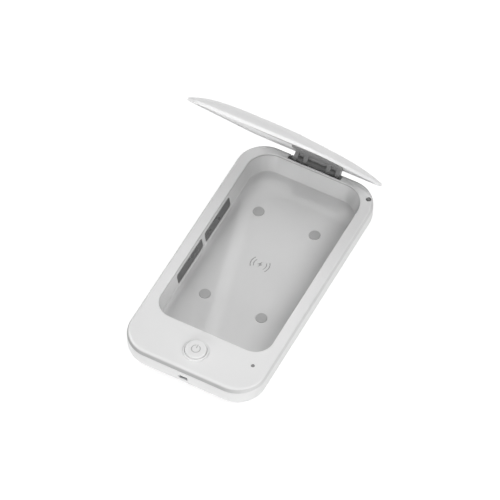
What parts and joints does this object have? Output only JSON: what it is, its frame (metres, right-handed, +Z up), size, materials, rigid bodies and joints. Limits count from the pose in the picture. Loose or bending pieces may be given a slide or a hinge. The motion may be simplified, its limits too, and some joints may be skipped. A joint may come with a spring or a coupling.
{
  "type": "phone uv sanitizer box",
  "caption": "Shallow rounded sanitizer box for a phone with a domed lid on a rear hinge, lamp slots in the cavity walls, a charging floor, a round power button and a charging socket.",
  "frame": {"origin": "middle of the footprint of the box with its lid open, on the plane that the feet stand on", "axes": "+Z up, +Y from the button end to the hinge end, +X to the right for a person facing the button end"},
  "size_m": [0.1174, 0.2306, 0.2072],
  "materials": {
    "casing_white": "satin moulded",
    "deck_white": "satin moulded",
    "lid_white": "satin moulded",
    "tray_grey": "polished",
    "liner_grey": "satin moulded",
    "button_white": "satin moulded",
    "hinge_grey": "moulded",
    "pad_rubber": "matt",
    "foot_rubber": "matt",
    "window_glass": "tinted",
    "led_package": "ceramic",
    "circuit_board": "solder mask",
    "copper_coil": "enamelled",
    "ferrite": "sintered",
    "switch_black": "moulded",
    "pin_plastic": "moulded",
    "light_pipe_smoke": "polished",
    "socket_steel": "tin plated",
    "screw_steel": "zinc plated"
  },
  "bodies": {
    "box": {"base_shell": "casing_white", "deck_cover": "deck_white", "cavity_tray": "tray_grey", "phone_pads": "pad_rubber", "uv_window_right": "window_glass", "uv_window_left": "window_glass", "uv_board_right": "circuit_board", "uv_board_left": "circuit_board", "uv_leds_right": "led_package", "uv_leds_left": "led_package", "charging_coil": "copper_coil", "ferrite_shield": "ferrite", "charger_board": "circuit_board", "control_board": "circuit_board", "usb_socket": "socket_steel", "tact_switch": "switch_black", "button_bezel": "button_white", "status_led": "led_package", "light_pipe": "light_pipe_smoke", "lid_switch_body": "switch_black", "rubber_feet": "foot_rubber", "cover_screws": "screw_steel", "tray_screws": "screw_steel", "board_screws": "screw_steel", "hinge_base": "hinge_grey", "hinge_screws": "screw_steel", "hinge_pin": "screw_steel", "friction_washers": "screw_steel"},
    "lid": {"lid_shell": "lid_white", "lid_liner": "liner_grey", "lid_hinge_bracket": "hinge_grey", "bracket_screws": "screw_steel"},
    "button": {"power_button": "button_white", "switch_plunger": "switch_black"},
    "lid_sensor": {"lid_switch_plunger": "pin_plastic"}
  },
  "joints": [
    {"name": "lid_hinge", "type": "hinge", "parent": "box", "child": "lid", "pos_m": [0, 0.10742, 0.02], "axis": [-1, 0, 0], "range_deg": [-57, 38]},
    {"name": "power_button_travel", "type": "slide", "parent": "box", "child": "button", "axis": [0, 0, -1], "range_m": [0, 0.0008], "stiffness_N_per_m": 2500, "springref_m": -0.0003},
    {"name": "lid_switch_travel", "type": "slide", "parent": "box", "child": "lid_sensor", "axis": [0, 0, -1], "range_m": [0, 0.0012], "stiffness_N_per_m": 600, "springref_m": -0.0003}
  ]
}
